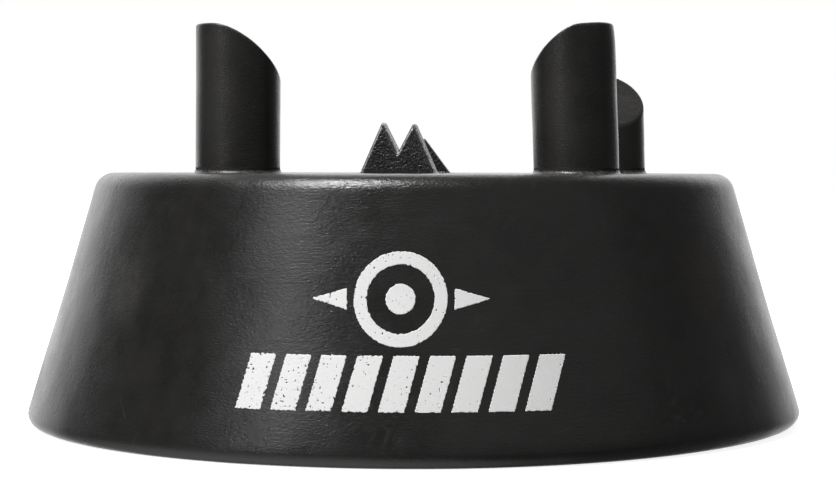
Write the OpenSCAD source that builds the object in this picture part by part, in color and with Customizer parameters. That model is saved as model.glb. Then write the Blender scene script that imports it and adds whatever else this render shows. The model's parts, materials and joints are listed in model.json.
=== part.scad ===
// Kicking tee for a rugby ball, moulded in black rubber. A hollow cone carries a flat deck. Two tall
// and two short posts on the deck cradle the ball, and two toothed plates grip its pointed end.
// Millimetres, +Z up, +X to the right, -Y towards the printed front. Origin: centre of the footprint.

/* [Cone] */
// Outer diameter at the ground, before its edge is rounded
base_d = 151.4; // [144:0.1:160]
// Outer diameter at deck level, before the shoulder is rounded
deck_d = 122.6; // [120:0.1:130]
// Height of the deck above the ground
base_h = 47.8; // [46:0.1:54]
// Thickness of the cone's wall, measured level
wall_t = 6; // [4:0.5:7]
// Thickness of the deck
deck_t = 6.5; // [5:0.5:8]
// Radius of the rounded shoulder between wall and deck
shoulder_r = 3.8; // [1:0.1:4]
// Radius of the rounded edge at the ground
foot_r = 2; // [1:0.1:3]
// Width of the land that the tee stands on
land_w = 9.5; // [8:0.5:11]
// Height of the thickened ring above the ground
ring_h = 8; // [6:0.5:10]

/* [Posts] */
// Diameter of every post
post_d = 15.6; // [14:0.1:16]
// Distance of the front posts to each side of the middle
front_x = 31.2; // [28:0.1:33]
// Distance of the front posts ahead of the middle
front_y = 26; // [24:0.5:28]
// Height of the front posts above the deck
front_h = 27.4; // [26.5:0.1:32]
// Height of the front left post's slanted face above the deck, on the post's axis
front_left_slant_h = 22.9; // [21:0.1:24]
// The same for the front right post
front_right_slant_h = 23.6; // [21:0.1:24]
// Tilt of the front posts' slanted face
front_slant = 40.4; // [36:0.1:44]
// Compass direction that the front left slanted face looks in
front_face_az = 40; // [35:1:45]
// Inward tilt of the front posts' flat top
front_top_tilt = 4; // [0:0.5:6]
// Distance of the rear posts to each side of the middle
rear_x = 38.6; // [36:0.1:39]
// Distance of the rear posts behind the middle
rear_y = 25; // [24:0.5:26]
// Height of the rear posts' slanted face above the deck, on the post's axis
rear_slant_h = 15.5; // [12:0.1:16]
// Tilt of the rear posts' slanted face
rear_slant = 36; // [34:0.1:44]
// Compass direction that the rear right slanted face looks in
rear_face_az = 285; // [260:1:290]
// Inward lean of the front left post
front_left_lean = 0.3; // [0:0.1:2]
// Inward lean of the front right post, which came out of the mould more crooked
front_right_lean = 2; // [0:0.1:2]
// Inward lean of the rear posts
rear_lean = 1.5; // [0:0.1:2]
// Furthest that a post flexes each way, fore and aft
flex_deg = 15; // [5:1:15]

/* [Post roots] */
// Diameter of the thick pad that a post grows from
root_d = 20.6; // [20:0.1:22]
// Depth of the pad below the deck's top face
root_depth = 12; // [11:0.5:14]
// Diameter of the raised lip around a post's foot, at the deck
lip_d = 18.8; // [18.6:0.1:19.6]
// Height of the raised lip
lip_h = 0.9; // [0.5:0.1:1.2]
// Gap between a post's round foot and its seat
seat_gap = 0.2; // [0.1:0.05:0.3]

/* [Ball seat] */
// Turn of the front plate away from square, clockwise from above
seat_turn = 8; // [0:1:12]
// Distance of each toothed plate from the middle
seat_r = 14; // [13:0.5:16]
// Distance of the front plate's middle to the right, before its turn
front_plate_x = -0.2; // [-1:0.1:1]
// Width of the front plate at the deck
front_plate_w = 14.8; // [12:0.1:16]
// Thickness of the front plate
front_plate_t = 4; // [3:0.5:6]
// Height of the front plate's two teeth
front_tooth_h = 9.6; // [8:0.1:11]
// Distance between the front plate's two tips
front_tip_gap = 6; // [5:0.1:6.5]
// Height of the notch between them
front_notch_h = 4.4; // [3:0.1:6]
// Distance of the rear tooth to the right of the middle
rear_tooth_x = 1.2; // [0:0.1:3]
// Width of the rear tooth at the deck
rear_tooth_w = 10.6; // [8:0.1:12]
// Thickness of the rear tooth
rear_tooth_t = 4; // [3:0.5:6]
// Height of the rear tooth
rear_tooth_h = 6.9; // [6:0.1:9]
// Width of a tooth's blunt tip
tip_w = 0.7; // [0.4:0.1:1]
// Diameter of the round dish that the ball's point hangs in
dish_d = 21; // [18:0.5:21]
// Depth of the dish
dish_depth = 7; // [5:0.5:8]
// Thickness of the cup around the dish
cup_wall = 2; // [1.5:0.5:3]
// Thickness of the cup under the dish
cup_floor = 3.5; // [2:0.5:4]

/* [Underside webs] */
// Number of webs that brace the wall against the deck
web_count = 6; // [6]
// Thickness of a web
web_t = 4; // [3:0.5:5]
// Distance of a web's inner end from the middle
web_inner_r = 34; // [30:1:40]
// Distance that a web runs down the wall from the deck
web_drop = 21; // [15:1:24]

/* [Front print] */
// Thickness of the printed white film
film_t = 0.15; // [0.1:0.05:0.2]
// Distance of the print's middle to the right of the front
print_x = 1.6; // [-4:0.1:4]
// Outer diameter of the printed ring
ring_mark_d = 15.6; // [12:0.1:17]
// Height of the printed ring's middle above the ground
ring_mark_z = 27.3; // [26.5:0.1:28.5]
// Reach of the two pointed bars to each side of the middle
bar_reach = 15; // [13:0.5:20]
// Number of slanted blocks in the printed row
block_count = 9; // [5:1:11]
// Length of the row of blocks
row_w = 54.6; // [40:0.1:58]
// Height of the row's lower edge above the ground
row_z = 9.2; // [8.8:0.1:9.6]
// Height of the blocks
block_h = 9; // [6:0.1:9]

/* [Hidden] */
$fn = 128;

deck_z = base_h - deck_t;
wall_lean = atan((base_d - deck_d) / 2 / base_h);
post_r = post_d / 2;
root_r = root_d / 2;
cup_r = dish_d / 2 + cup_wall;
dish_ball_r = (pow(dish_d / 2, 2) + pow(dish_depth, 2)) / (2 * dish_depth);
past = 1;         // how far a cutting shape runs past what it cuts
big = 60;         // side of a cutting block, larger than any post
arc_steps = 8;
ink = [0.93, 0.93, 0.92];
rubber = [0.12, 0.115, 0.115];
rubber_light = [0.2, 0.19, 0.19];

// Radius of the cone's outer and inner face at height z
function outer_r(z) = base_d / 2 - (base_d - deck_d) / 2 * z / base_h;
function inner_r(z) = outer_r(z) - wall_t;

// Points of an arc around [cx, cz], from angle a0 to a1
function arc(cx, cz, r, a0, a1) = [
    for (i = [0 : arc_steps])
        let (a = a0 + (a1 - a0) * i / arc_steps)
        [cx + r * cos(a), cz + r * sin(a)]
];

// Conical wall between the ground ring and the deck
module skirt() {
    color(rubber)
    rotate_extrude()
    polygon([
        [outer_r(ring_h), ring_h],
        [outer_r(deck_z), deck_z],
        [inner_r(deck_z), deck_z],
        [inner_r(ring_h), ring_h]
    ]);
}

// Outline of the printed mark, as width against height: a ring and dot between two pointed bars,
// over a row of slanted blocks
module print_outline() {
    ring_w = 2.2;
    dot_d = 5;
    bar_h = 3.6;
    bar_gap = 1.1;
    block_gap = 1.6;
    slant_run = 2.4;
    pitch = (row_w - slant_run + block_gap) / block_count;
    bar_start = ring_mark_d / 2 + bar_gap;
    translate([0, ring_mark_z]) {
        difference() {
            circle(d = ring_mark_d);
            circle(d = ring_mark_d - 2 * ring_w);
        }
        circle(d = dot_d);
        for (side = [-1, 1])
            polygon([
                [side * bar_start, -bar_h / 2],
                [side * bar_reach, 0],
                [side * bar_start, bar_h / 2]
            ]);
    }
    for (i = [0 : block_count - 1])
        translate([-row_w / 2 + i * pitch, row_z])
            polygon([
                [0, 0],
                [pitch - block_gap, 0],
                [pitch - block_gap + slant_run, block_h],
                [slant_run, block_h]
            ]);
}

// Thin film of white ink that lies on the front of the wall
module front_print() {
    color(ink)
    intersection() {
        rotate_extrude()
        polygon([
            [outer_r(ring_h), ring_h],
            [outer_r(ring_h) + film_t, ring_h],
            [outer_r(deck_z) + film_t, deck_z],
            [outer_r(deck_z), deck_z]
        ]);
        translate([print_x, 0, 0])
        rotate([90, 0, 0])
        linear_extrude(height = base_d)
            print_outline();
    }
}

// Thickened lower rim, with a rounded outer edge and a flat land underneath
module ground_ring() {
    edge_run = foot_r / tan((90 - wall_lean) / 2);
    inner_drop = 3;
    color(rubber)
    rotate_extrude()
    polygon(concat(
        arc(base_d / 2 - edge_run, foot_r, foot_r, -90, wall_lean),
        [
            [outer_r(ring_h), ring_h],
            [inner_r(ring_h), ring_h],
            [base_d / 2 - land_w, ring_h - inner_drop],
            [base_d / 2 - land_w, 0]
        ]
    ));
}

// Flat top with its rounded shoulder, cut out where the four roots and the cup go through
module deck() {
    edge_run = shoulder_r / tan((90 + wall_lean) / 2);
    color(rubber)
    difference() {
        rotate_extrude()
        polygon(concat(
            [[0, deck_z], [outer_r(deck_z), deck_z]],
            arc(deck_d / 2 - edge_run, base_h - shoulder_r, shoulder_r, wall_lean, 90),
            [[0, base_h]]
        ));
        for (side = [-1, 1]) {
            translate([side * front_x, -front_y, deck_z - past])
                cylinder(r = root_r, h = deck_t + 2 * past);
            translate([side * rear_x, rear_y, deck_z - past])
                cylinder(r = root_r, h = deck_t + 2 * past);
        }
        translate([0, 0, deck_z - past])
            cylinder(r = cup_r, h = deck_t + 2 * past);
    }
}

// Round dish in the middle of the deck, which leaves room for the ball's point
module tip_cup() {
    color(rubber)
    difference() {
        translate([0, 0, base_h - dish_depth - cup_floor])
            cylinder(r = cup_r, h = dish_depth + cup_floor);
        translate([0, 0, base_h - dish_depth + dish_ball_r])
            sphere(r = dish_ball_r);
    }
}

// Stands an outline, drawn as width against height, upright on the deck with its middle at [x, y]
module upright_plate(x, y, thick) {
    translate([x, y + thick / 2, base_h])
    rotate([90, 0, 0])
    linear_extrude(height = thick)
    children();
}

// Front plate: two pointed teeth with a notch between them
module front_tooth_plate() {
    color(rubber_light)
    rotate([0, 0, -seat_turn])
    upright_plate(front_plate_x, -seat_r, front_plate_t)
    polygon([
        [-front_plate_w / 2, 0],
        [front_plate_w / 2, 0],
        [(front_tip_gap + tip_w) / 2, front_tooth_h],
        [(front_tip_gap - tip_w) / 2, front_tooth_h],
        [0, front_notch_h],
        [-(front_tip_gap - tip_w) / 2, front_tooth_h],
        [-(front_tip_gap + tip_w) / 2, front_tooth_h]
    ]);
}

// Rear tooth: one pointed tooth, lower than the front ones
module rear_tooth() {
    color(rubber_light)
    upright_plate(rear_tooth_x, seat_r, rear_tooth_t)
    polygon([
        [-rear_tooth_w / 2, 0],
        [rear_tooth_w / 2, 0],
        [tip_w / 2, rear_tooth_h],
        [-tip_w / 2, rear_tooth_h]
    ]);
}

// Thick pad through the deck, with the round seat of a post's foot and a raised lip. Its mouth is a
// cone that opens at the flex angle, so the post has room to lean each way.
module root(x, y) {
    mouth_r = post_r / cos(flex_deg) + seat_gap;
    mouth_low = -post_r * sin(flex_deg);
    mouth_high = lip_h + past;
    lip_run = 0.7;
    color(rubber)
    translate([x, y, base_h])
    difference() {
        union() {
            translate([0, 0, -root_depth])
                cylinder(r = root_r, h = root_depth);
            cylinder(r1 = lip_d / 2, r2 = lip_d / 2 - lip_run, h = lip_h);
        }
        sphere(r = post_r + seat_gap);
        translate([0, 0, mouth_low])
            cylinder(
                r1 = mouth_r + mouth_low * tan(flex_deg),
                r2 = mouth_r + mouth_high * tan(flex_deg),
                h = mouth_high - mouth_low
            );
    }
}

// Takes away everything above a plane that tilts down towards compass direction az
module cut_above(height, tilt, az) {
    translate([0, 0, height])
    rotate([0, tilt, az])
    translate([-big / 2, -big / 2, 0])
        cube(big);
}

// A round post on a round foot. Its top is cut by the slanted face that the ball leans on and, if
// it has one, by a nearly level top face.
module post(x, y, lean, blank_h, slant_h, slant, face_az, top_tilt) {
    color(rubber_light)
    translate([x, y, base_h])
    rotate([0, lean, 0]) {
        difference() {
            cylinder(r = post_r, h = blank_h);
            cut_above(slant_h, slant, face_az);
            cut_above(blank_h - post_r * tan(top_tilt), top_tilt, face_az);
        }
        difference() {
            sphere(r = post_r);
            translate([-post_r - past, -post_r - past, 0])
                cube(2 * (post_r + past));
        }
    }
}

module front_left_post() {
    post(-front_x, -front_y, front_left_lean, front_h, front_left_slant_h, front_slant,
        front_face_az, front_top_tilt);
}

module front_right_post() {
    post(front_x, -front_y, -front_right_lean, front_h, front_right_slant_h, front_slant,
        180 - front_face_az, front_top_tilt);
}

module rear_right_post() {
    post(rear_x, rear_y, -rear_lean, front_h, rear_slant_h, rear_slant, rear_face_az, 0);
}

module rear_left_post() {
    post(-rear_x, rear_y, rear_lean, front_h, rear_slant_h, rear_slant, 540 - rear_face_az, 0);
}

// Three-cornered web under the deck that braces the wall, turned to compass direction az
module web(az) {
    reach = 10;
    color(rubber)
    intersection() {
        rotate([0, 0, az])
        translate([0, web_t / 2, 0])
        rotate([90, 0, 0])
        linear_extrude(height = web_t)
        polygon([
            [web_inner_r, deck_z],
            [inner_r(deck_z) + reach, deck_z],
            [inner_r(deck_z - web_drop) + reach, deck_z - web_drop],
            [inner_r(deck_z - web_drop), deck_z - web_drop]
        ]);
        rotate_extrude()
        polygon([
            [0, ring_h],
            [inner_r(ring_h), ring_h],
            [inner_r(deck_z), deck_z],
            [0, deck_z]
        ]);
    }
}

skirt();
front_print();
deck();
ground_ring();
tip_cup();
front_tooth_plate();
rear_tooth();
root(-front_x, -front_y);  // front_left_root
root(front_x, -front_y);  // front_right_root
root(-rear_x, rear_y);  // rear_left_root
root(rear_x, rear_y);  // rear_right_root
front_left_post();
front_right_post();
rear_left_post();
rear_right_post();
for (i = [1 : web_count])
    web((i - 1) * 360 / web_count);
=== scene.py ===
"""Looks of the rugby kicking tee: moulded black rubber, a ragged white print, a pale studio.

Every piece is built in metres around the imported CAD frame. Sizes come from the CAD nodes' boxes and
from the joints, and the few that the frame can't give are named below in millimetres.
"""

import json
import math

import bmesh
import bpy
import numpy as np
from mathutils import Matrix, Vector, noise


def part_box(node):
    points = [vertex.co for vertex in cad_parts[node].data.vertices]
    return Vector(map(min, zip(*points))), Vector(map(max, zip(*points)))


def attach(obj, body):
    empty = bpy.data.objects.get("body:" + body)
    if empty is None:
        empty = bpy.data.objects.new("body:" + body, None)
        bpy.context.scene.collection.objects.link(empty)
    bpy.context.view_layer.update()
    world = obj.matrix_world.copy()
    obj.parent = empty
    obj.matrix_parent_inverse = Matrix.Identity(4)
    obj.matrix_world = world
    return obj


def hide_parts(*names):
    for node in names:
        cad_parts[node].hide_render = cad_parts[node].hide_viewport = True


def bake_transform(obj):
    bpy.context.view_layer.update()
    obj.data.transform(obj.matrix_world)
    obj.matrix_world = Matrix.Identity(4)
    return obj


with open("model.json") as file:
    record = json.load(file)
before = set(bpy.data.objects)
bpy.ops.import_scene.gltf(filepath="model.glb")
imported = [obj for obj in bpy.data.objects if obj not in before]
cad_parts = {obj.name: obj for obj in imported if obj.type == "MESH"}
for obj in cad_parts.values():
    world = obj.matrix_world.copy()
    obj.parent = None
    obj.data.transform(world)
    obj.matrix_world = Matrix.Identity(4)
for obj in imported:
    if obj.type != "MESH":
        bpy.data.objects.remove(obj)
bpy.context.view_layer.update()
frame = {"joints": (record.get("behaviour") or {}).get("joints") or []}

MM = 0.001
TURN_STEPS = 360            # segments around the cone
SMALL_STEPS = 96            # segments around the dish and the collars
OUTLINE_STEP = 1.5 * MM     # longest stretch of a turned outline


# ---------------------------------------------------------------- sizes, from the frame

def box_radius(node):
    """Half the width of a round node."""
    low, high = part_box(node)
    return (high.x - low.x) / 2


DECK_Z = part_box("deck")[1].z
DECK_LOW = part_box("deck")[0].z
RING_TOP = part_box("ground_ring")[1].z
CUP_R = box_radius("tip_cup")
CUP_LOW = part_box("tip_cup")[0].z
ROOT_R = box_radius("front_left_root")
ROOT_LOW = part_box("front_left_root")[0].z
POST_R = (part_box("rear_left_post")[1].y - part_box("rear_left_post")[0].y) / 2
ROOTS = {j["child"].replace("_post_body", ""): Vector(j["pos_m"]) for j in frame["joints"]}

# The wall is a straight cone through the skirt's foot and the deck's lower edge
SKIRT_R = box_radius("skirt")
WALL_SLOPE = (SKIRT_R - box_radius("deck")) / (DECK_LOW - RING_TOP)
WALL = 6.0 * MM             # the wall's thickness, level
LAND = 9.5 * MM             # width of the ring that it stands on
SHOULDER_R = 3.8 * MM
FOOT_R = 2.0 * MM
PLATE_TURN = math.radians(-8)
SUNK = 1.0 * MM             # how far posts and plates reach into what they stand on


def outer_r(z):
    """Radius of the cone's outer face at height z."""
    return SKIRT_R - WALL_SLOPE * (z - RING_TOP)


def inner_r(z):
    """Radius of the cone's inner face at height z."""
    return outer_r(z) - WALL


# ---------------------------------------------------------------- mesh helpers

def mesh_object(name, points, faces, sharp_deg=40):
    """A smooth-shaded mesh object, with edges sharper than sharp_deg kept crisp."""
    mesh = bpy.data.meshes.new(name)
    mesh.from_pydata([tuple(p) for p in points], [], faces)
    mesh.validate()
    return smooth_object(name, mesh, sharp_deg)


def smooth_object(name, mesh, sharp_deg):
    """The same for a mesh that is made already."""
    for polygon in mesh.polygons:
        polygon.use_smooth = True
    mesh.set_sharp_from_angle(angle=math.radians(sharp_deg))
    mesh.name = name
    obj = bpy.data.objects.new(name, mesh)
    bpy.context.scene.collection.objects.link(obj)
    return obj


def rounded(corners, steps=6):
    """An outline from (r, z, radius) corners, in order, with each corner rounded to its radius."""
    outline = []
    for i, (r, z, radius) in enumerate(corners):
        here = Vector((r, z))
        if radius == 0:
            outline.append(here)
            continue
        before = Vector(corners[i - 1][:2]) - here
        after = Vector(corners[(i + 1) % len(corners)][:2]) - here
        before.normalize()
        after.normalize()
        half = before.angle(after) / 2
        centre = here + (before + after).normalized() * (radius / math.sin(half))
        start = here + before * (radius / math.tan(half)) - centre
        end = here + after * (radius / math.tan(half)) - centre
        sweep = start.angle_signed(end)
        for k in range(steps + 1):
            a = -sweep * k / steps
            outline.append(centre + Matrix.Rotation(a, 2) @ start)
    return outline


def dense(outline, step):
    """The same closed outline with points no further apart than step."""
    result = []
    for i, here in enumerate(outline):
        after = outline[(i + 1) % len(outline)]
        count = max(1, math.ceil((after - here).length / step))
        result += [here.lerp(after, k / count) for k in range(count)]
    return result


def swell(point):
    """How far the moulded skin stands off its true surface at a point.

    It has slow, shallow waves and a faint waist, which is deepest half way up."""
    p = point / MM
    slow = noise.noise(p * 0.045 + Vector((7, 3, 1))) * 0.08
    short = noise.noise(p * 0.16) * 0.035
    waist_z, waist_reach = 24, 9
    waist = 0.09 + 0.16 * math.exp(-((p.z - waist_z) / waist_reach) ** 2)
    return (slow + short - waist) * MM


def turned(name, outline, centre=(0, 0, 0), steps=TURN_STEPS, waves=False):
    """A solid of revolution from a closed (r, z) outline around a vertical line through centre."""
    whole_waves_r = 40 * MM     # nearer to the middle, the waves die away
    points, faces = [], []
    count = len(outline)
    cx, cy, cz = centre
    for k in range(steps):
        a = 2 * math.pi * k / steps
        for r, z in outline:
            p = Vector((r * math.cos(a), r * math.sin(a), z))
            if waves:
                out = Vector((math.cos(a), math.sin(a), 0)) * swell(p)
                p += out * min(1, r / whole_waves_r)
            points.append((p.x + cx, p.y + cy, p.z + cz))
    for k in range(steps):
        here, there = k * count, (k + 1) % steps * count
        for i in range(count):
            j = (i + 1) % count
            faces.append((here + i, there + i, there + j, here + j))
    obj = mesh_object(name, points, faces)
    weld(obj)
    return obj


def weld(obj):
    """Joins points that lie on each other, such as those on a turned solid's axis."""
    work = bmesh.new()
    work.from_mesh(obj.data)
    bmesh.ops.remove_doubles(work, verts=work.verts, dist=1e-7)
    bmesh.ops.recalc_face_normals(work, faces=work.faces)
    work.to_mesh(obj.data)
    work.free()


def evaluated_mesh(obj):
    """The object's mesh with its modifiers applied. The object itself is removed."""
    graph = bpy.context.evaluated_depsgraph_get()
    mesh = bpy.data.meshes.new_from_object(obj.evaluated_get(graph))
    bpy.data.objects.remove(obj)
    return mesh


def round_max(a, b, k):
    """The larger of two distances, with the edge where they meet rounded over a width of k."""
    h = np.maximum(k - np.abs(a - b), 0) / k
    return np.maximum(a, b) + h * h * k / 4


def round_min(a, b, k):
    """The smaller of two distances, with the valley where they meet rounded over a width of k."""
    return -round_max(-a, -b, k)


def carved(name, rough, distance, grain, relief, worn):
    """Covers the rough mesh with an even grid, then pulls every point onto distance = 0.

    distance takes an array of points and gives how far outside the shape each one is. relief then
    says how far each point moves along the shape's normal. worn says how pale each point's edge is
    painted, from 0 to 1: partly rubbed wear, partly a painted highlight where an edge catches the
    light. It is kept on the mesh as edge_wear, which the rubber's material reads."""
    block = bpy.data.objects.new(name + "_block", rough)
    bpy.context.scene.collection.objects.link(block)
    remesh = block.modifiers.new("grid", "REMESH")
    remesh.mode = "VOXEL"
    remesh.voxel_size = grain
    mesh = evaluated_mesh(block)
    points = np.empty(len(mesh.vertices) * 3)
    mesh.vertices.foreach_get("co", points)
    points = points.reshape(-1, 3)
    for _ in range(5):
        gradient = slope(distance, points)
        size = np.maximum((gradient ** 2).sum(1), 0.2)
        points -= gradient * (np.clip(distance(points), -grain, grain) / size)[:, None]
    gradient = slope(distance, points)
    gradient /= np.linalg.norm(gradient, axis=1)[:, None] + 1e-9
    rubbed = worn(points)
    points += gradient * relief(points, gradient)[:, None]
    wear = mesh.attributes.new("edge_wear", "FLOAT", "POINT")
    wear.data.foreach_set("value", rubbed.astype(np.float32))
    mesh.vertices.foreach_set("co", points.ravel())
    mesh.update()
    return smooth_object(name, mesh, 60)


def slope(distance, points):
    """Gradient of a distance field at each point."""
    step = 2e-6
    result = np.empty_like(points)
    for axis in range(3):
        shift = np.zeros(3)
        shift[axis] = step
        result[:, axis] = (distance(points + shift) - distance(points - shift)) / (2 * step)
    return result


def noise_at(points, scale, offset):
    """Fractal noise, about -1 to 1, at each point, with a period of 1 / scale millimetres."""
    shift = Vector((offset, 0, 0))
    return np.array([
        noise.fractal(Vector(p) * (scale / MM) + shift, 1.0, 2.0, 2) for p in points
    ])


def extruded(outline, y0, y1):
    """A rough mesh of an (x, z) outline, from depth y0 to y1."""
    work = bmesh.new()
    front = [work.verts.new((x, y0, z)) for x, z in outline]
    back = [work.verts.new((x, y1, z)) for x, z in outline]
    work.faces.new(front)
    work.faces.new(list(reversed(back)))
    for i in range(len(outline)):
        j = (i + 1) % len(outline)
        work.faces.new((front[j], front[i], back[i], back[j]))
    bmesh.ops.recalc_face_normals(work, faces=work.faces)
    bmesh.ops.triangulate(work, faces=work.faces)
    mesh = bpy.data.meshes.new("rough")
    work.to_mesh(mesh)
    work.free()
    return mesh


# ---------------------------------------------------------------- materials

class Paint:
    """Builds one node material: the calls add a node each and give back its output socket."""

    def __init__(self, name):
        self.material = bpy.data.materials.new(name)
        self.material.use_nodes = True
        self.tree = self.material.node_tree
        self.shader = self.tree.nodes["Principled BSDF"]
        # Where on the object a point is, in millimetres
        self.where = self.scaled(self.add("ShaderNodeTexCoord").outputs["Object"], (1 / MM,) * 3)

    def add(self, kind, inputs=None, **settings):
        made = self.tree.nodes.new(kind)
        for key, value in settings.items():
            setattr(made, key, value)
        for key, value in (inputs or {}).items():
            self.put(made.inputs[key], value)
        return made

    def put(self, socket, value):
        """Links a socket to another one, or gives it a plain value."""
        if isinstance(value, bpy.types.NodeSocket):
            self.tree.links.new(value, socket)
        else:
            socket.default_value = value

    def set(self, **values):
        """The shader's inputs, by name with _ for a space."""
        for key, value in values.items():
            self.put(self.shader.inputs[key.replace("_", " ")], value)

    def scaled(self, vector, by):
        made = self.add("ShaderNodeVectorMath", {0: vector, 1: by}, operation="MULTIPLY")
        return made.outputs[0]

    def noise(self, scale, detail=3.0, rough=0.5, vector=None, distortion=0.0):
        inputs = {
            "Vector": vector or self.where, "Scale": scale, "Detail": detail,
            "Roughness": rough, "Distortion": distortion,
        }
        return self.add("ShaderNodeTexNoise", inputs).outputs[0]

    def band(self, value, low, high, to_low=0.0, to_high=1.0):
        """Maps value from low..high to to_low..to_high, smoothly, and holds it outside."""
        inputs = {"Value": value, 1: low, 2: high, 3: to_low, 4: to_high}
        made = self.add("ShaderNodeMapRange", inputs, interpolation_type="SMOOTHSTEP")
        return made.outputs[0]

    def math(self, operation, a, b):
        return self.add("ShaderNodeMath", {0: a, 1: b}, operation=operation).outputs[0]

    def mix(self, share, a, b):
        made = self.add("ShaderNodeMix", {0: share, 6: a, 7: b}, data_type="RGBA")
        return made.outputs[2]

    def patch(self, centre_mm, size_mm):
        """A soft ragged patch around a point, from 0 to 1."""
        away = self.add(
            "ShaderNodeVectorMath", {0: self.where, 1: centre_mm}, operation="DISTANCE"
        ).outputs["Value"]
        ragged = self.math("MULTIPLY", self.noise(0.15, 5.0, 0.65), size_mm * 1.3)
        return self.band(self.math("ADD", away, ragged), size_mm * 0.7, size_mm * 1.6, 1.0, 0.0)

    def bump(self, height, distance, normal=None):
        """A normal tilted by height, which spans distance metres, on top of an earlier normal."""
        inputs = {"Strength": 1.0, "Distance": distance, "Height": height}
        if normal:
            inputs["Normal"] = normal
        return self.add("ShaderNodeBump", inputs).outputs[0]


def scratches(p):
    """Thin edges of two stretched cell patterns, kept only in a few places, from 0 to 1."""
    share = 0.0
    for turn, offset in ((0.5, 3.0), (-0.9, 11.0)):
        turned_map = p.add(
            "ShaderNodeMapping",
            {"Vector": p.where, "Rotation": (0.3, turn, offset), "Scale": (0.010, 0.03, 0.25)},
        ).outputs[0]
        edge = p.add(
            "ShaderNodeTexVoronoi", {"Vector": turned_map, "Scale": 1.0},
            feature="DISTANCE_TO_EDGE",
        ).outputs[0]
        line = p.band(edge, 0.0, 0.004, 1.0, 0.0)
        place = p.noise(0.05, 2.0, 0.5, p.scaled(p.where, (1, 1, 1 + offset / 9)))
        share = p.math("MAXIMUM", share, p.math("MULTIPLY", line, p.band(place, 0.58, 0.68)))
    return share


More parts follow.
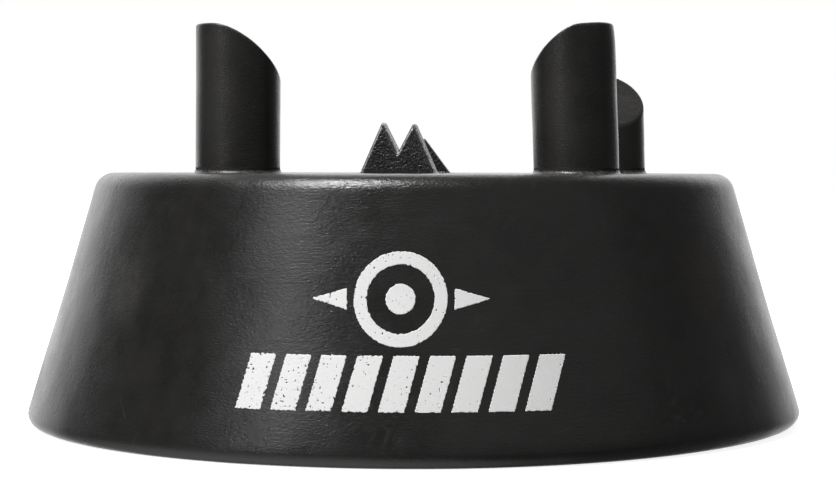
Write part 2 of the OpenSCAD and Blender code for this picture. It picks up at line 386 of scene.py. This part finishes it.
def rubber(name, base, roughness, grain=1.0, top_dust_and_highlight=0.0, edges=0.0, crease=False, pebble=0.0,
           patches=()):
    """Moulded rubber: fibrous level grain, mottling, dull bloom, dust and a few light scratches.

    top_dust_and_highlight whitens the deck's top and the collars: partly dust, partly a painted
    highlight on these up-facing surfaces. crease paints shade into a thin line at a post's foot,
    where a fine groove would shadow itself. edges whitens where the mesh's edge_wear
    says so: partly rubbed wear, partly painted highlights and reflections on edges that face the
    light. pebble is the height of coarse grain, in mm.
    patches are marks: (centre in mm, size in mm, colour, share, added roughness)."""
    p = Paint(name)
    side, _, height = p.add("ShaderNodeSeparateXYZ", {0: p.where}).outputs
    deck_top = DECK_Z / MM
    fibre = p.noise(1.0, 3.0, 0.62, p.scaled(p.where, (1.3, 1.3, 3.4)))
    fine = p.noise(1.0, 2.0, 0.6, p.scaled(p.where, (2.4, 2.4, 6.0)))
    mottle = p.noise(0.22, 6.0, 0.6)
    streak = p.noise(1.0, 4.0, 0.6, p.scaled(p.where, (0.10, 0.10, 1.6)))
    cloud = p.noise(0.08, 2.5, 0.5)
    bloom = p.band(p.noise(0.045, 6.0, 0.62), 0.5, 0.72)
    blotch = p.band(p.noise(0.35, 5.0, 0.7, distortion=0.6), 0.52, 0.75)

    light = (base[0] * 1.18, base[1] * 1.16, base[2] * 1.18, 1)
    dark = (base[0] * 0.82, base[1] * 0.84, base[2] * 0.84, 1)
    colour = p.mix(p.band(mottle, 0.32, 0.68), dark, light)
    pale = (*[c * 2 for c in base], 1)
    colour = p.mix(p.band(fibre, 0.3, 0.7, 0.0, 0.22), colour, pale)
    colour = p.mix(p.band(cloud, 0.38, 0.66, 0.0, 0.25), colour, pale)
    dust = p.math("MULTIPLY", p.math("MULTIPLY", bloom, blotch), 0.3)
    colour = p.mix(dust, colour, (0.075, 0.071, 0.068, 1))
    gloss = p.math("ADD", p.band(mottle, 0.3, 0.7, roughness - 0.02, roughness + 0.02),
                   p.band(cloud, 0.3, 0.7, -0.015, 0.03))

    colour = p.mix(p.math("MULTIPLY", scratches(p), 0.10), colour, (0.13, 0.125, 0.12, 1))
    for centre, size, tint, share, dull in patches:
        mark = p.math("MULTIPLY", p.patch(centre, size), p.band(fibre, 0.3, 0.6, 0.5, 1.0))
        colour = p.mix(p.math("MULTIPLY", mark, share), colour, (*tint, 1))
        gloss = p.math("ADD", gloss, p.math("MULTIPLY", mark, dull))

    # Paler on the deck's top and the collars: partly dust, partly a painted highlight where these
    # up-facing surfaces catch the light
    if top_dust_and_highlight:
        uneven = p.band(p.noise(1.3, 5.0, 0.7), 0.35, 0.7)
        top = p.band(height, deck_top - 0.5, deck_top - 0.15, 0.0, top_dust_and_highlight)
        colour = p.mix(p.math("MULTIPLY", top, uneven), colour, (0.15, 0.145, 0.14, 1))
        gloss = p.math("ADD", gloss, p.math("MULTIPLY", top, 0.1))
    # Painted shade: a near-black line just above the deck at a post's foot, where a fine groove would
    # shadow itself
    if crease:
        wavy = p.math("ADD", height, p.band(p.noise(0.7, 3.0, 0.6), 0.3, 0.7, -0.12, 0.12))
        level = deck_top + 0.72
        crease_shade = p.math("MULTIPLY", p.band(wavy, level - 0.1, level, 0.0, 0.9),
                      p.band(wavy, level + 0.2, level + 0.45, 1.0, 0.0))
        colour = p.mix(crease_shade, colour, (0.002, 0.002, 0.002, 1))
        gloss = p.math("ADD", gloss, p.math("MULTIPLY", crease_shade, 0.5))
    # Pale edges where the mesh says so: partly rubbed wear, partly a painted highlight and painted
    # reflection on edges that face the light
    if edges:
        wear = p.add("ShaderNodeAttribute", attribute_name="edge_wear").outputs["Fac"]
        broken = p.band(p.noise(1.6, 4.0, 0.7), 0.35, 0.65, edges * 0.3, edges)
        rubbed = p.math("MULTIPLY", wear, broken)
        colour = p.mix(rubbed, colour, (0.55, 0.545, 0.54, 1))
        gloss = p.math("ADD", gloss, p.math("MULTIPLY", rubbed, 0.15))

    # The grain stands out more on the left and on the shoulder
    coarse = p.math("ADD", p.band(side, -35, 20, 1.1, 0.75),
                    p.band(height, deck_top - 4.5, deck_top - 1, 0.0, 0.6))
    normal = p.bump(p.noise(0.07, 0.5, 0.4), 0.3 * MM * grain)
    normal = p.bump(p.math("MULTIPLY", mottle, coarse), 0.07 * MM * grain, normal)
    normal = p.bump(streak, 0.025 * MM * grain, normal)
    normal = p.bump(p.math("MULTIPLY", fibre, coarse), 0.055 * MM * grain, normal)
    normal = p.bump(p.math("MULTIPLY", fine, coarse), 0.022 * MM * grain, normal)
    if pebble:
        normal = p.bump(p.noise(2.3, 2.0, 0.7), pebble * MM, normal)
    p.set(Base_Color=colour, Roughness=gloss, Normal=normal)
    p.shader.inputs["Specular IOR Level"].default_value = 0.5
    return p.material


def ink_material():
    """Thin matt white ink, with the rubber's tone coming through where it is thin."""
    p = Paint("white_ink")
    thin = p.band(p.noise(0.9, 5.0, 0.7), 0.55, 0.8)
    speck = p.band(p.noise(3.2, 3.0, 0.7), 0.60, 0.72)
    share = p.math("MAXIMUM", p.math("MULTIPLY", thin, 0.22), p.math("MULTIPLY", speck, 0.35))
    colour = p.mix(share, (0.66, 0.66, 0.655, 1), (0.30, 0.295, 0.29, 1))
    normal = p.bump(p.noise(2.5, 4.0, 0.6), 0.02 * MM)
    p.set(Base_Color=colour, Roughness=p.band(thin, 0.0, 1.0, 0.62, 0.5), Normal=normal)
    return p.material


def stage_material(name, colour):
    """A matt floor that glows a little, so that it stays as pale as the backdrop."""
    p = Paint(name)
    tone = p.mix(p.band(p.noise(0.02, 2.0), 0.4, 0.6, 0.0, 1.0), (*colour, 1),
                 (*[c * 0.985 for c in colour], 1))
    p.set(Base_Color=tone)
    p.shader.inputs["Roughness"].default_value = 0.9
    p.shader.inputs["Emission Color"].default_value = (1, 1, 1, 1)
    p.shader.inputs["Emission Strength"].default_value = 0.85
    return p.material


# ---------------------------------------------------------------- the cone and what is under it

def make_skirt():
    outline = dense(rounded([
        (outer_r(RING_TOP), RING_TOP, 0),
        (outer_r(DECK_LOW), DECK_LOW, 0),
        (inner_r(DECK_LOW), DECK_LOW, 0),
        (inner_r(RING_TOP), RING_TOP, 0),
    ]), OUTLINE_STEP)
    piece = turned("skirt_wall", outline, waves=True)
    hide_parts("skirt")
    return piece


def foot_wear(point):
    """The foot's outer edge is rubbed down on the right, most of all towards the front."""
    most, reach = 1.1, 2.6              # millimetres
    azimuth, spread = -36, 30           # degrees
    edge = Vector((math.hypot(point.x, point.y) - outer_r(0), point.z)).length / MM
    aside = math.degrees(math.atan2(point.y, point.x)) - azimuth
    depth = most * math.exp(-(edge / reach) ** 2 - (aside / spread) ** 2) * MM
    inward = Vector((-point.x, -point.y, 0)).normalized()
    return (inward * 0.7 + Vector((0, 0, 0.7))) * depth


def make_ground_ring():
    foot = outer_r(0)
    outline = dense(rounded([
        (foot, 0, FOOT_R),
        (outer_r(RING_TOP), RING_TOP, 0),
        (inner_r(RING_TOP), RING_TOP, 0),
        (foot - LAND, RING_TOP - 3 * MM, 1.2 * MM),
        (foot - LAND, 0, 0.8 * MM),
    ]), OUTLINE_STEP)
    piece = turned("foot_ring", outline, waves=True)
    for vertex in piece.data.vertices:
        vertex.co += foot_wear(vertex.co)
    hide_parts("ground_ring")
    return piece


def make_deck():
    outline = dense(rounded([
        (CUP_R, DECK_LOW, 0),
        (outer_r(DECK_LOW), DECK_LOW, 0),
        (outer_r(DECK_Z), DECK_Z, SHOULDER_R),
        (CUP_R, DECK_Z, 0),
    ], steps=10), OUTLINE_STEP)
    piece = turned("deck_plate", outline, waves=True)
    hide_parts("deck")
    return piece


def make_cup():
    """The dish in the middle, with a rounded rim."""
    rim_width, floor, bowl_steps = 2.0 * MM, 3.5 * MM, 24
    mouth = CUP_R - rim_width
    depth = DECK_Z - CUP_LOW - floor
    ball = (mouth ** 2 + depth ** 2) / (2 * depth)
    centre_z = DECK_Z - depth + ball
    widest = math.asin(mouth / ball)
    angles = [widest * k / bowl_steps for k in range(bowl_steps)]
    bowl = [Vector((ball * math.sin(a), centre_z - ball * math.cos(a))) for a in angles]
    rim = rounded([
        (bowl[-1].x, bowl[-1].y, 0),
        (mouth, DECK_Z, 0.9 * MM),
        (CUP_R, DECK_Z, 0),
        (CUP_R, CUP_LOW, 1.5 * MM),
        (0, CUP_LOW, 0),
    ])
    piece = turned("ball_tip_dish", bowl + rim[1:], steps=SMALL_STEPS)
    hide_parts("tip_cup")
    return piece


def make_root(place):
    """The pad under a post and the flared collar around its foot, which ends in a fine crease."""
    flare = 0.6 * MM
    neck = POST_R + 0.1 * MM
    crease = 0.75 * MM
    inset, drop = 0.5 * MM, 0.45 * MM
    fillet = [
        Vector((neck + flare - flare * math.cos(t), flare - flare * math.sin(t)))
        for t in (math.radians(90 - 10 * k) for k in range(10))
    ]
    lower = rounded([
        (0, ROOT_LOW - DECK_Z, 0),
        (ROOT_R, ROOT_LOW - DECK_Z, 1.6 * MM),
        (ROOT_R, -2 * MM, 0),
    ])
    upper = rounded([
        (neck, crease * 0.82, 0),
        (neck, crease, 0.14 * MM),
        (neck - inset, crease - drop, 0),
        (0, crease - drop, 0),
    ])
    name = place + "_root"
    outline = lower + fillet[:-1] + upper
    piece = turned(name + "_collar", outline, ROOTS[place], steps=SMALL_STEPS)
    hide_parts(name)
    return piece


def make_web(index):
    """A three-cornered web, turned to its place, with softened edges."""
    low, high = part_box("web_1")
    bite, edge, soft = 1.5 * MM, 1.2 * MM, 0.7 * MM
    outline = [
        (low.x, DECK_LOW + bite),
        (inner_r(DECK_LOW) + bite, DECK_LOW + bite),
        (inner_r(low.z) + bite, low.z),
        (inner_r(low.z) - edge, low.z),
        (low.x, DECK_LOW - edge),
    ]
    work = bmesh.new()
    work.from_mesh(extruded(outline, low.y, high.y))
    bmesh.ops.dissolve_limit(work, angle_limit=0.01, verts=work.verts, edges=work.edges)
    bmesh.ops.bevel(
        work, geom=list(work.edges), offset=soft, segments=3, affect="EDGES", profile=0.5
    )
    work.transform(Matrix.Rotation(math.radians(60 * (index - 1)), 4, "Z"))
    mesh = bpy.data.meshes.new("web")
    work.to_mesh(mesh)
    work.free()
    piece = smooth_object(f"web_{index}_moulded", mesh, 35)
    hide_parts(f"web_{index}")
    return piece


# ---------------------------------------------------------------- posts

class Post:
    """Where a post stands and how its top is cut, given in millimetres and degrees.

    slant_h is the height of the slanted face on the post's axis, and face_az is the way it looks.
    trim narrows the outer side of the tip, and curve bends the slanted face near its top."""

    def __init__(self, place, lean, height, slant_h, slant, face_az, top_tilt=0,
                 trim=0, curve=0, wear=0):
        self.place, self.curve, self.wear = place, curve, wear
        self.trim = trim * MM
        self.lean = math.radians(lean)
        self.height = height * MM
        self.slant_h = slant_h * MM
        self.slant = math.radians(slant)
        self.face = math.radians(face_az)
        self.top_tilt = math.radians(top_tilt)

    def local(self, points):
        """Points seen from the post's root, with its lean taken out."""
        rel = points - np.array(ROOTS[self.place])
        c, s = math.cos(self.lean), math.sin(self.lean)
        x, z = c * rel[:, 0] - s * rel[:, 2], s * rel[:, 0] + c * rel[:, 2]
        return np.stack([x, rel[:, 1], z], 1)

    def along(self, q):
        """How far each point is from the axis, the way that the slanted face looks."""
        return q[:, 0] * math.cos(self.face) + q[:, 1] * math.sin(self.face)

    def plane(self, q, height, tilt):
        """How far above a tilted plane through the axis at that height each point is."""
        return self.along(q) * math.sin(tilt) + (q[:, 2] - height) * math.cos(tilt)

    def crown(self, q):
        """How much lower the slanted face is towards its top, where it curves like the ball."""
        return np.minimum(self.along(q) / MM - 1.5, 0) ** 2 * self.curve * MM

    def taper(self, q):
        """How much narrower the post is on its outer side, where its tip was trimmed."""
        length = 5 * MM
        out = -q[:, 0] * math.cos(self.face)
        share = np.clip((q[:, 2] - self.height + length) / length, 0, 1) ** 2
        return share * np.clip(out / POST_R, 0, 1) * self.trim

    def surfaces(self, q):
        """How far outside its side, its slanted face and its top each point is."""
        side = np.hypot(q[:, 0], q[:, 1]) - POST_R + self.taper(q)
        slanted = self.plane(q, self.slant_h, self.slant) + self.crown(q)
        top = self.plane(q, self.height - POST_R * math.tan(self.top_tilt), self.top_tilt)
        return side, slanted, top

    def distance(self, points):
        """How far outside the whole post each point is."""
        q = self.local(points)
        side, slanted, top = self.surfaces(q)
        shape = round_max(side, top, 0.5 * MM)
        shape = round_max(shape, slanted, 0.35 * MM)
        return np.maximum(shape, -SUNK - q[:, 2])

    def worn(self, points):
        """How near each point is to the rim of the slanted face or of the top, from 0 to 1, times the
        post's edge strength: a pale rim that is partly rubbed wear and partly a painted highlight.
        """
        side, slanted, top = self.surfaces(self.local(points))
        rim = np.abs(side - np.maximum(slanted, top))
        return np.exp(-(rim / (0.22 * MM)) ** 2) * self.wear


POSTS = [
    Post("front_left", lean=0.3, height=27.35, slant_h=22.85, slant=40.4, face_az=40,
         top_tilt=3, curve=0.014, wear=1),
    Post("front_right", lean=-2.0, height=27.25, slant_h=23.5, slant=40.4, face_az=140,
         top_tilt=5.5, trim=0.45, curve=0.014, wear=1),
    Post("rear_right", lean=-1.5, height=27.2, slant_h=15.45, slant=36.0, face_az=285),
    Post("rear_left", lean=1.5, height=27.2, slant_h=15.45, slant=36.0, face_az=255),
]


def rough_post(post):
    """A plain cylinder in the post's place, cut along its slanted face."""
    work = bmesh.new()
    bmesh.ops.create_cone(
        work, cap_ends=True, segments=64, radius1=POST_R, radius2=POST_R, depth=post.height + MM
    )
    work.transform(Matrix.Translation((0, 0, (post.height - MM) / 2)))
    normal = Vector((
        math.sin(post.slant) * math.cos(post.face),
        math.sin(post.slant) * math.sin(post.face),
        math.cos(post.slant),
    ))
    cut = bmesh.ops.bisect_plane(
        work, geom=work.verts[:] + work.edges[:] + work.faces[:],
        plane_co=(0, 0, post.slant_h), plane_no=normal, clear_outer=True,
    )
    edges = [e for e in cut["geom_cut"] if isinstance(e, bmesh.types.BMEdge)]
    bmesh.ops.holes_fill(work, edges=edges)
    turn = Matrix.Rotation(post.lean, 4, "Y")
    work.transform(Matrix.Translation(ROOTS[post.place]) @ turn)
    rough = bpy.data.meshes.new("rough")
    work.to_mesh(rough)
    work.free()
    return rough


def make_post(post):
    """The post's own skin, carved to its shape with a slow unevenness all over."""

    def relief(points, normals):
        """The slow unevenness of a soft moulding, the same all over."""
        return noise_at(points, 0.12, 5.0) * 0.05 * MM

    name = post.place + "_post"
    rough = rough_post(post)
    piece = carved(name + "_rubber", rough, post.distance, 0.3 * MM, relief, post.worn)
    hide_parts(name)
    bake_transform(piece)
    return piece


# ---------------------------------------------------------------- toothed plates

def slope_side(q, x0, z0, x1, z1, side):
    """Distance outside the line from (x0, z0) at the foot to (x1, z1) at the tip."""
    run, rise = x1 - x0, z1 - z0
    size = math.hypot(run, rise)
    return side * ((q[:, 0] - x0) * rise - (q[:, 2] - z0) * run) / size


class Tooth:
    """One pointed tooth, as width against height: tip place, tip height and its two feet."""

    def __init__(self, tip, height, left, right):
        self.tip, self.height, self.left, self.right = tip, height, left, right

    def distance(self, q, inset):
        left = slope_side(q, self.left, 0, self.tip, self.height, -1)
        right = slope_side(q, self.right, 0, self.tip, self.height, 1)
        return round_max(left, right, 0.5 * MM) + inset


class Plate:
    """A toothed plate that stands on the deck: its teeth, turn, shift, front and back.

    half is half its width, and pad says whether it has a raised pebbled pad in front."""

    recess = 0.6 * MM       # how far the plate's own face stands behind the pad's
    pad_inset = 0.42 * MM   # how far the pad's outline is inside the plate's

    def __init__(self, teeth, half, turn, shift, front, back, pad):
        self.teeth, self.half, self.turn, self.shift = teeth, half, turn, shift
        self.front, self.back, self.pad = front, back, pad

    def local(self, points):
        c, s = math.cos(-self.turn), math.sin(-self.turn)
        x, y = points[:, 0] - self.shift, points[:, 1]
        return np.stack([c * x - s * y, s * x + c * y, points[:, 2] - DECK_Z], 1)

    def outline(self, q, inset):
        """How far outside its teeth, drawn in by inset, each point is."""
        shape = self.teeth[0].distance(q, inset)
        for tooth in self.teeth[1:]:
            shape = round_min(shape, tooth.distance(q, inset), 0.7 * MM)
        return shape

    def distance(self, points):
        """The plate, with a raised pebbled pad in front and a foot that flares onto the deck."""
        q = self.local(points)
        recess = self.recess if self.pad else 0
        body = round_max(self.outline(q, 0.0), self.front + recess - q[:, 1], 0.6 * MM)
        body = round_max(body, q[:, 1] - self.back, 0.5 * MM)
        if self.pad:
            raised = self.outline(q, self.pad_inset)
            raised = round_max(raised, self.front - q[:, 1], 0.3 * MM)
            raised = np.maximum(raised, q[:, 1] - self.front - 1.5 * MM)
            raised = np.maximum(raised, 0.75 * MM - q[:, 2])
            body = round_min(body, raised, 0.12 * MM)
        body = round_min(body, q[:, 2] + 0.03 * MM, 0.45 * MM)
        middle, deep = (self.front + self.back) / 2, (self.back - self.front) / 2
        sides = np.maximum(np.abs(q[:, 0]) - self.half, np.abs(q[:, 1] - middle) - deep)
        return np.maximum(np.maximum(body, sides - 1.4 * MM), -SUNK - q[:, 2])

    def rough(self, outline):
        """A simple solid around the shape: the drawn outline on a slab that holds the flare."""
        work = bmesh.new()
        margin, slab_top = 1.3 * MM, 0.1 * MM
        wide = self.half + margin
        slab = [(-wide, -SUNK), (wide, -SUNK), (wide, slab_top), (-wide, slab_top)]
        for corners, grow in ((outline, 0), (slab, margin)):
            part = extruded(corners, self.front - grow, self.back + grow)
            work.from_mesh(part)
        work.transform(Matrix.Rotation(self.turn, 4, "Z"))
        work.transform(Matrix.Translation((self.shift, 0, DECK_Z)))
        mesh = bpy.data.meshes.new("rough")
        work.to_mesh(mesh)
        work.free()
        return mesh

    def build(self, node, name, outline):
        facing = np.array(Matrix.Rotation(self.turn, 3, "Z") @ Vector((0, -1, 0)))

        def relief(points, normals):
            """Pebbled skin on the faces that look forward and back, nearly smooth on the slopes."""
            flat = np.clip(np.abs(normals @ facing) * 1.6 - 0.6, 0.12, 1)
            pebble = noise_at(points, 2.9, 2.0) * 0.10 + noise_at(points, 1.0, 9.0) * 0.03
            return pebble * flat * MM

        def worn(points):
            """Painted highlights on the lips: the pad's edge left of each tip and the plate's own
            edge right of each tip and near the tips, with a fainter pale line along the foot.
            """
            q = self.local(points)
            if not self.pad:
                return np.zeros(len(points))
            lip = np.exp(-(self.outline(q, self.pad_inset) / (0.15 * MM)) ** 2)
            edge = np.exp(-(self.outline(q, 0.0) / (0.16 * MM)) ** 2)
            ahead = np.clip((self.front + 1.2 * MM - q[:, 1]) / (0.5 * MM), 0, 1)
            # Painted light chosen by side: the pad's lips are paled only left of each tip, a painted
            # highlight from the light on the upper left, and the plate's edges mostly right of each
            # tip, a painted reflection of the bright surroundings
            tip = np.where(q[:, 0] < 0, self.teeth[0].tip, self.teeth[-1].tip)
            right = np.where(q[:, 0] > tip, 1.0, 0.05)
            right = np.maximum(right, np.clip(q[:, 2] / MM - 8.7, 0, 1))
            foot = np.exp(-((q[:, 2] - 0.36 * MM) / (0.13 * MM)) ** 2)
            sides = np.maximum(lip * ahead * np.where(q[:, 0] > tip, 0.1, 1.0), edge * right)
            return np.maximum(sides * np.clip(q[:, 2] / MM, 0, 1), foot * 0.5)

        piece = carved(name, self.rough(outline), self.distance, 0.11 * MM, relief, worn)
        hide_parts(node)
        return piece


def make_front_plate():
    """Two blunt teeth of unequal height, with a notch between them."""
    front, back = -16 * MM, -12 * MM
    half, tip, height, notch = 7.4 * MM, 3.0 * MM, 9.9 * MM, 4.1 * MM
    inner = tip * (height / (height - notch) - 1)
    teeth = [
        Tooth(-tip, height, -half, inner),
        Tooth(tip, height - 0.25 * MM, -inner, half - 0.1 * MM),
    ]
    outline = [
        (-half, -SUNK), (half, -SUNK), (tip, height), (0, notch), (-tip, height),
    ]
    plate = Plate(teeth, half, PLATE_TURN, -0.2 * MM, front, back, True)
    return plate.build("front_tooth_plate", "front_teeth_pebbled", outline)


def make_rear_tooth():
    """One plain tooth, a little higher than its node, because its tip is blunt."""
    low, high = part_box("rear_tooth")
    half, height = (high.x - low.x) / 2, high.z - low.z + 0.25 * MM
    outline = [(-half, -SUNK), (half, -SUNK), (0, height)]
    teeth = [Tooth(0.0, height, -half, half)]
    plate = Plate(teeth, half, 0, (low.x + high.x) / 2, low.y, high.y, False)
    return plate.build("rear_tooth", "rear_tooth_pebbled", outline)


# ---------------------------------------------------------------- front print

PRINT_X = 1.6 * MM          # how far right of the middle it is printed
INK_LIFT = 0.05 * MM        # how far its outer face stands off the wall
INK_THICKNESS = 0.09 * MM


def print_field(x, z):
    """How far inside the printed outline a point is, in millimetres: below 0 is bare rubber."""
    ring_z, ring_r, ring_w, dot_r = 27.3, 7.8, 2.2, 2.5
    bar_start, bar_reach, bar_half = 8.9, 15.0, 1.8
    row_w, row_z, block_h, gap, run, count = 54.6, 9.2, 9.0, 1.6, 2.4, 9
    away = math.hypot(x, z - ring_z)
    ring = min(ring_r - away, away - ring_r + ring_w)
    dot = dot_r - away
    taper = bar_half * (bar_reach - abs(x)) / (bar_reach - bar_start)
    bar = min(abs(x) - bar_start, taper - abs(z - ring_z))
    pitch = (row_w - run + gap) / count
    unslanted = x + row_w / 2 - run * (z - row_z) / block_h
    within = unslanted - pitch * min(max(math.floor(unslanted / pitch), 0), count - 1)
    block = min(z - row_z, row_z + block_h - z, within, pitch - gap - within)
    return max(ring, dot, bar, block)


def ragged(x, z):
    """The printed field with a slightly torn edge and pinholes, both worse on the left."""
    spot = Vector((x, z, 0))
    left = min(max(0.5 - x / 30, 0), 1)
    edge = noise.fractal(spot * 2.2, 1.0, 2.0, 4) * (0.07 + 0.13 * left)
    holes = noise.fractal(spot * 2.6 + Vector((31, 5, 2)), 0.8, 2.0, 3)
    worn = 0.22 * left + 0.12 * noise.noise(spot * 0.12 + Vector((3, 9, 4)))
    pinhole = (0.72 - worn - holes) * 0.5
    return min(print_field(x, z) + edge - 0.03, pinhole)


def make_print():
    """The ink film: the field is cut into small cells, and each keeps the part that is inked."""
    cell = 0.16
    x0, x1, z0, z1 = -28.5, 28.5, 8.6, 36.0
    columns, rows = int((x1 - x0) / cell), int((z1 - z0) / cell)
    value = [[ragged(x0 + i * cell, z0 + k * cell) for i in range(columns + 1)]
             for k in range(rows + 1)]
    points, faces, seen = [], [], {}

    def point(x, z):
        key = (round(x, 4), round(z, 4))
        if key not in seen:
            seen[key] = len(points)
            height, side = z * MM, x * MM + PRINT_X
            radius = outer_r(height)
            spot = Vector((side, -math.sqrt(radius ** 2 - side ** 2), height))
            out = Vector((spot.x, spot.y, 0)).normalized()
            points.append(spot + out * (swell(spot) + INK_LIFT))
        return seen[key]

    for k in range(rows):
        for i in range(columns):
            corners = [(i, k), (i + 1, k), (i + 1, k + 1), (i, k + 1)]
            values = [value[b][a] for a, b in corners]
            if max(values) <= 0:
                continue
            loop = []
            for n in range(4):
                (a, b), (c, d) = corners[n], corners[(n + 1) % 4]
                here, there = values[n], values[(n + 1) % 4]
                if here > 0:
                    loop.append(point(x0 + a * cell, z0 + b * cell))
                if (here > 0) != (there > 0):
                    t = here / (here - there)
                    across, up = a + (c - a) * t, b + (d - b) * t
                    loop.append(point(x0 + across * cell, z0 + up * cell))
            loop = list(dict.fromkeys(loop))
            if len(loop) > 2:
                faces.append(loop)
    piece = mesh_object("front_print_film", points, faces, 180)
    solid = piece.modifiers.new("film", "SOLIDIFY")
    solid.thickness = INK_THICKNESS
    solid.offset = -1
    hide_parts("front_print")
    return piece


# ---------------------------------------------------------------- camera, light and floor

def add_area(name, azimuth, elevation, away, size, power, colour=(1, 1, 1)):
    """A soft light that looks at the tee. Azimuth 0 is in front, and grows to the right."""
    light = bpy.data.lights.new(name, "AREA")
    light.shape = "RECTANGLE"
    light.size, light.size_y = size
    light.energy = power
    light.color = colour
    obj = bpy.data.objects.new(name, light)
    a, e = math.radians(azimuth), math.radians(elevation)
    aim = Vector((0, 0, DECK_Z / 2))
    spot = Vector((math.sin(a) * math.cos(e), -math.cos(a) * math.cos(e), math.sin(e)))
    obj.location = aim + spot * away
    obj.rotation_euler = spot.to_track_quat("Z", "Y").to_euler()
    bpy.context.scene.collection.objects.link(obj)


def make_camera():
    """Just above the deck, a little to the right of square on, tipped down to frame the tee."""
    camera = bpy.data.cameras.new("camera")
    camera.sensor_width = 36
    camera.lens = 89.1
    obj = bpy.data.objects.new("camera", camera)
    away, azimuth, above = 0.407, math.radians(3.3), 1.2 * MM
    tip_down, yaw, roll = math.radians(2.225), math.radians(-0.1), math.radians(0.12)
    obj.location = (away * math.sin(azimuth), -away * math.cos(azimuth), DECK_Z + above)
    turn = Matrix.Rotation(azimuth + yaw, 3, "Z") @ Matrix.Rotation(math.pi / 2 - tip_down, 3, "X")
    obj.rotation_euler = (turn @ Matrix.Rotation(roll, 3, "Z")).to_euler()
    bpy.context.scene.collection.objects.link(obj)
    bpy.context.scene.camera = obj


def make_floor():
    """A wide pale plane, hidden from glossy and diffuse rays, so that it doesn't light the tee."""
    size = 3.0
    floor = mesh_object(
        "floor", [(-size, -size, 0), (size, -size, 0), (size, size, 0), (-size, size, 0)],
        [(0, 1, 2, 3)],
    )
    floor.data.materials.append(stage_material("pale_floor", (0.92, 0.92, 0.92)))
    floor.visible_glossy = False
    floor.visible_diffuse = False


def world_glow(tree, towards, limits, interpolation):
    """A glow of the surroundings, which grows as a ray points more towards a direction.

    limits are where it starts to grow and where it stops, with 1 for straight that way, and its
    value at either end."""
    ray = tree.nodes.new("ShaderNodeTexCoord").outputs["Generated"]
    along = tree.nodes.new("ShaderNodeVectorMath")
    along.operation = "DOT_PRODUCT"
    along.inputs[1].default_value = towards
    tree.links.new(ray, along.inputs[0])
    level = tree.nodes.new("ShaderNodeMapRange")
    level.interpolation_type = interpolation
    tree.links.new(along.outputs["Value"], level.inputs["Value"])
    for socket, value in zip(("From Min", "From Max", "To Min", "To Max"), limits):
        level.inputs[socket].default_value = value
    return level.outputs[0]


def make_world():
    """White to the camera. To the tee, dark with a glow from behind and one from below."""
    world = bpy.data.worlds.new("studio")
    bpy.context.scene.world = world
    world.use_nodes = True
    tree = world.node_tree
    back = tree.nodes["Background"]
    back.inputs["Color"].default_value = (1, 1, 1, 1)
    behind = world_glow(tree, (-0.18, 0.96, 0.15), (0.5, 0.92, 0.07, 1.5), "SMOOTHSTEP")
    below = world_glow(tree, (-0.45, -0.40, -0.80), (0.45, 1.0, 0.06, 1.2), "LINEAR")
    total = tree.nodes.new("ShaderNodeMath")
    total.operation = "ADD"
    tree.links.new(behind, total.inputs[0])
    tree.links.new(below, total.inputs[1])
    path = tree.nodes.new("ShaderNodeLightPath")
    pick = tree.nodes.new("ShaderNodeMix")
    pick.inputs["B"].default_value = 1.0
    tree.links.new(path.outputs["Is Camera Ray"], pick.inputs["Factor"])
    tree.links.new(total.outputs[0], pick.inputs["A"])
    tree.links.new(pick.outputs[0], back.inputs["Strength"])


def make_lights():
    """Two soft lights high on the left, and a broad dim one on the right."""
    add_area("key", -39, 36, 1.0, (0.16, 0.7), 1.9, (0.98, 0.98, 1.0))
    add_area("high_key", -42, 64, 1.0, (0.14, 0.34), 14.0)
    add_area("fill", 42, 30, 1.0, (1.3, 0.5), 0.37)


def make_studio():
    make_floor()
    make_world()
    make_lights()
    bpy.context.scene.view_settings.view_transform = "Standard"


# ---------------------------------------------------------------- put together

BODY = rubber("black_rubber", (0.0080, 0.0075, 0.0070), 0.28, top_dust_and_highlight=0.5, patches=[
    ((-48, -48, 27), 9, (0.05, 0.048, 0.046), 0.3, 0.06),
    ((-71, -20, 9), 7, (0.06, 0.057, 0.055), 0.35, 0.08),
    ((53, -38, 30), 12, (0.030, 0.019, 0.014), 0.5, 0.03),
    ((58, -43, 12), 5, (0.04, 0.036, 0.034), 0.3, 0.04),
])
POST_RUBBER = rubber(
    "post_rubber", (0.0100, 0.0094, 0.0085), 0.30, grain=0.6, edges=0.16, crease=True
)
TOOTH_RUBBER = rubber(
    "tooth_rubber", (0.0105, 0.0105, 0.0102), 0.34, grain=0.4, edges=1.0, pebble=0.13
)

make_camera()
make_studio()

base_pieces = [make_skirt(), make_ground_ring(), make_deck(), make_cup()]
base_pieces += [make_root(place) for place in ROOTS]
base_pieces += [make_web(i) for i in range(1, 7)]
for piece in base_pieces:
    piece.data.materials.append(BODY)
    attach(piece, "base")

for plate in (make_front_plate(), make_rear_tooth()):
    plate.data.materials.append(TOOTH_RUBBER)
    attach(plate, "base")

film = make_print()
film.data.materials.append(ink_material())
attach(film, "base")

for post in POSTS:
    make_post(post).data.materials.append(POST_RUBBER)
